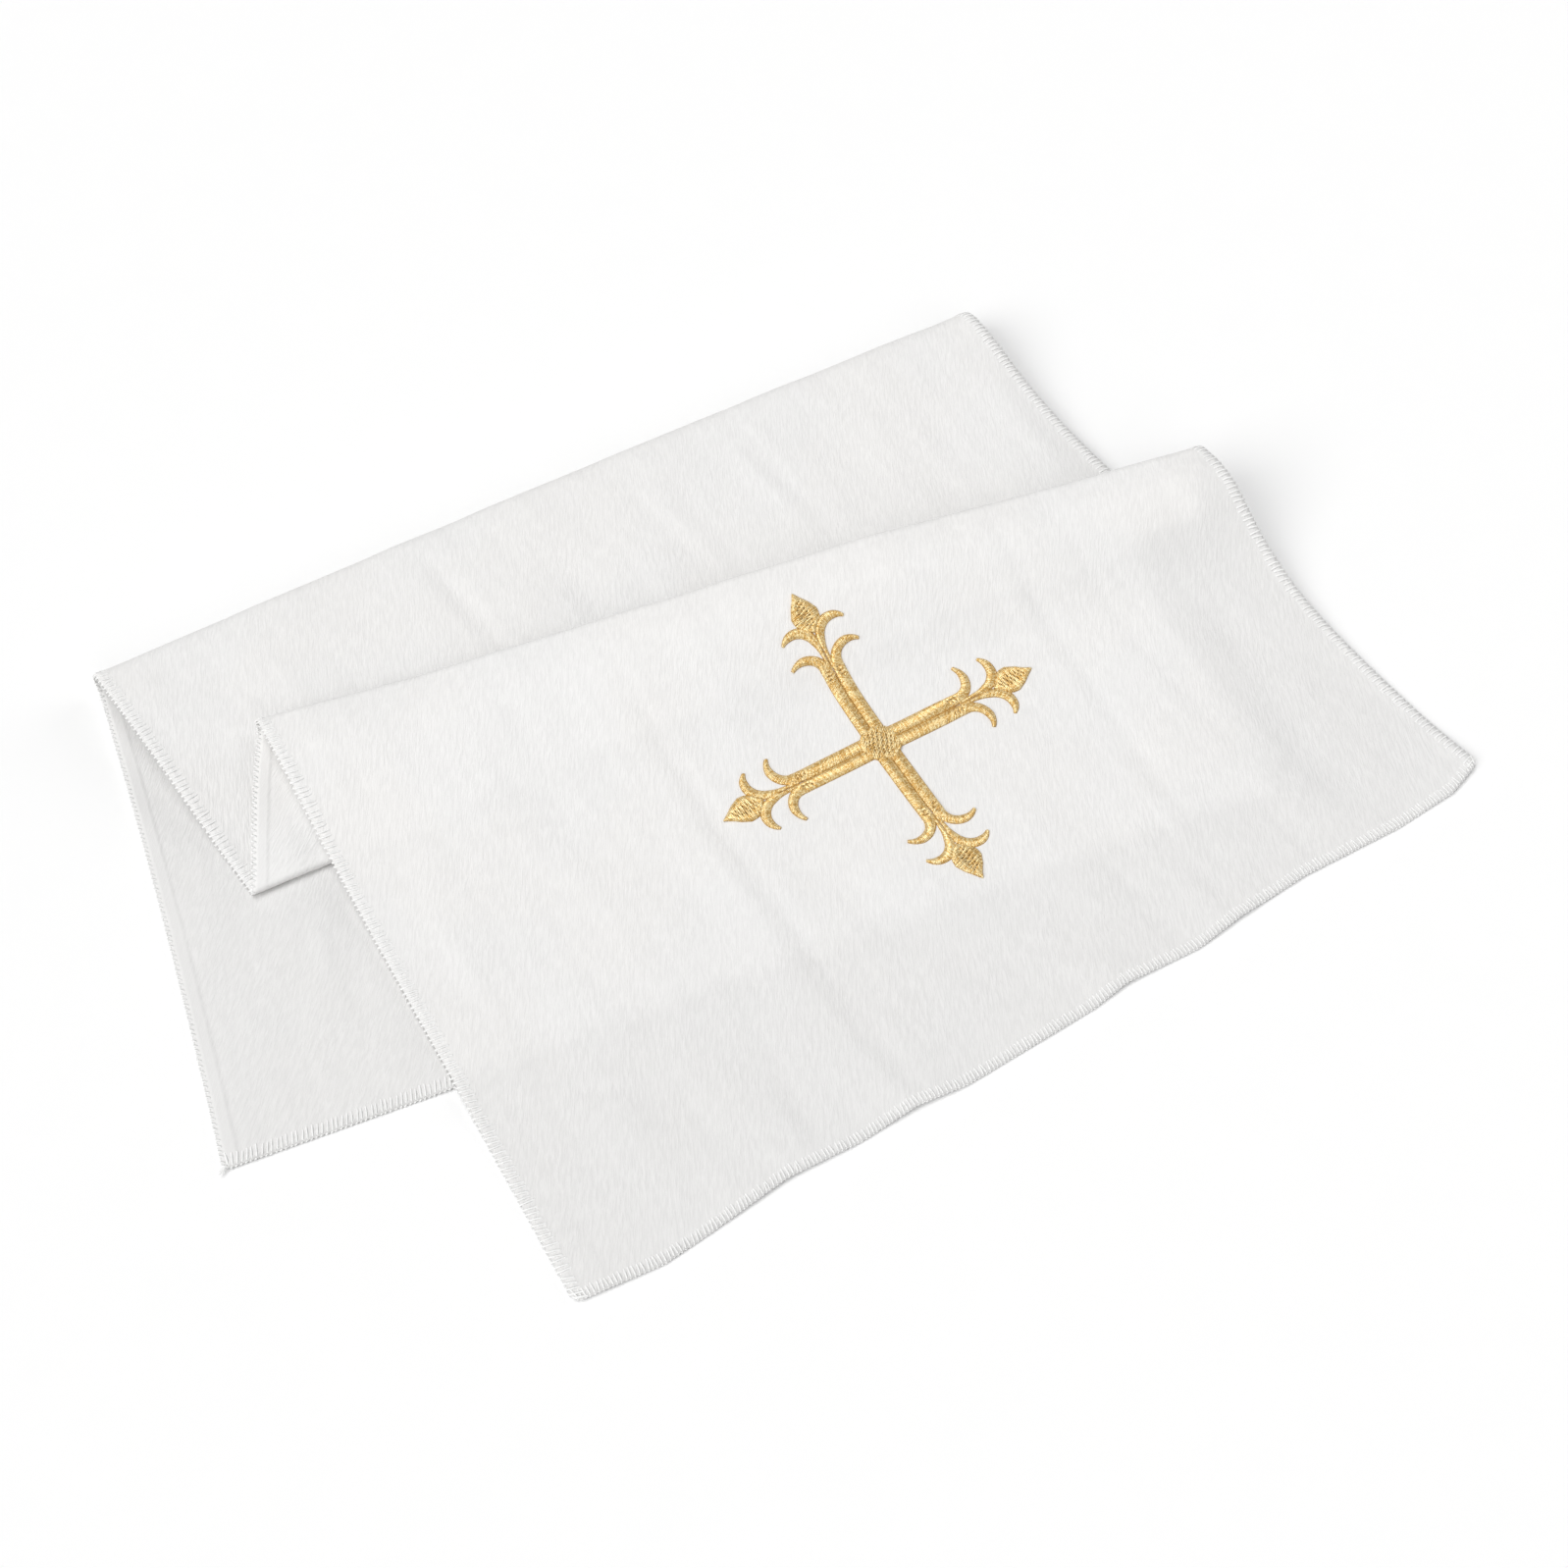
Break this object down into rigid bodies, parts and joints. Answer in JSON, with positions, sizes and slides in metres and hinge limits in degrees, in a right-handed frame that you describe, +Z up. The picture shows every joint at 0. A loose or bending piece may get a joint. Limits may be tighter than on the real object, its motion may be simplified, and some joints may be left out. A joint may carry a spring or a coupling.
{
  "type": "purificator",
  "caption": "White cotton altar cloth with an overlocked edge, loosely folded back and forth, with a gold embroidered cross on its top layer.",
  "frame": {"origin": "on the surface the cloth lies on, under the middle of its outline", "axes": "+X along the front edge towards the right, +Y towards the rear fold, +Z up"},
  "size_m": [0.3554, 0.2422, 0.0242],
  "materials": {
    "white_cotton": "matt crepe-woven cotton, slightly see-through, with fine raised streaks",
    "gold_thread": "glossy rayon satin stitch"
  },
  "bodies": {
    "root": {"cloth": "white_cotton", "embroidered_cross": "gold_thread"}
  },
  "joints": []
}
